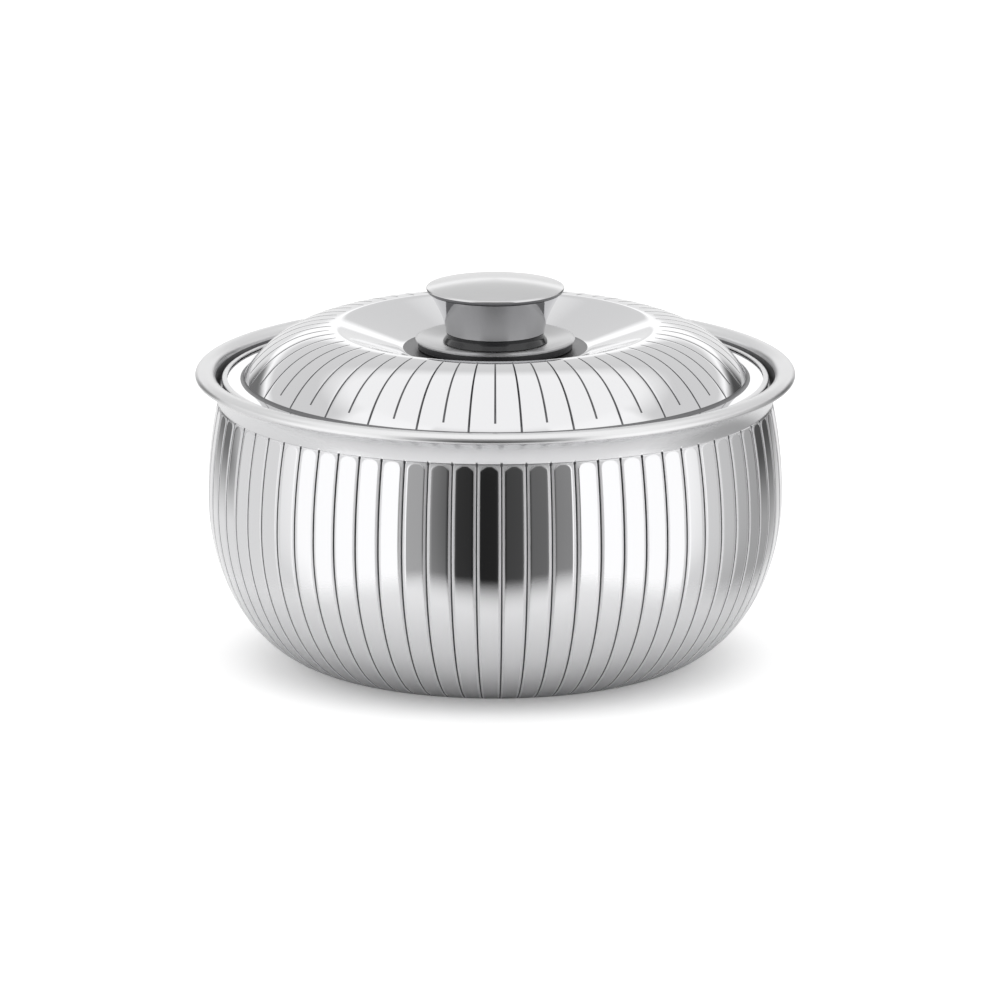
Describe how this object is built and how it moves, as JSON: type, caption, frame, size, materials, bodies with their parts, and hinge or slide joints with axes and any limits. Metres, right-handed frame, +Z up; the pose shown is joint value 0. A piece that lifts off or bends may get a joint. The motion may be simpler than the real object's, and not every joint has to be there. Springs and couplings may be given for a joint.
{
  "type": "insulated casserole",
  "caption": "Insulated stainless steel serving casserole with a fluted belly, a lift-off fluted lid, a rolled rim and a trumpet-shaped knob on a disc.",
  "frame": {"origin": "centre of the ring the pot stands on, on the floor", "axes": "+Z up along the axis of the pot, its lid and its knob; the pot is the same all round"},
  "size_m": [0.26, 0.26, 0.168],
  "materials": {
    "polished_steel": "mirror-polished stainless steel",
    "satin_steel": "satin stainless steel",
    "black_plastic": "black moulded plastic",
    "white_silicone": "white silicone",
    "brass": "turned brass",
    "foam": "rigid polyurethane foam"
  },
  "bodies": {
    "pot": {"outer_shell": "polished_steel", "inner_bowl": "satin_steel", "pot_insulation": "foam", "base_plate": "satin_steel", "fill_plug": "black_plastic"},
    "seal": {"lid_seal": "white_silicone"},
    "lid": {"lid_outer_shell": "polished_steel", "lid_inner_shell": "satin_steel", "lid_insulation": "foam", "knob_spacer": "black_plastic", "knob_disc": "satin_steel", "knob_collar": "black_plastic", "knob_neck": "polished_steel", "knob_cap": "satin_steel", "knob_core": "black_plastic", "knob_insert": "brass", "knob_screw": "polished_steel", "spring_washer": "polished_steel", "backing_washer": "polished_steel"}
  },
  "joints": [
    {"name": "lid_lift", "type": "slide", "parent": "pot", "child": "seal", "axis": [0, 0, 1], "range_m": [0, 0.15]},
    {"name": "lid_turn", "type": "hinge", "parent": "seal", "child": "lid", "pos_m": [0, 0, 0.1223], "axis": [0, 0, 1], "continuous": true}
  ]
}
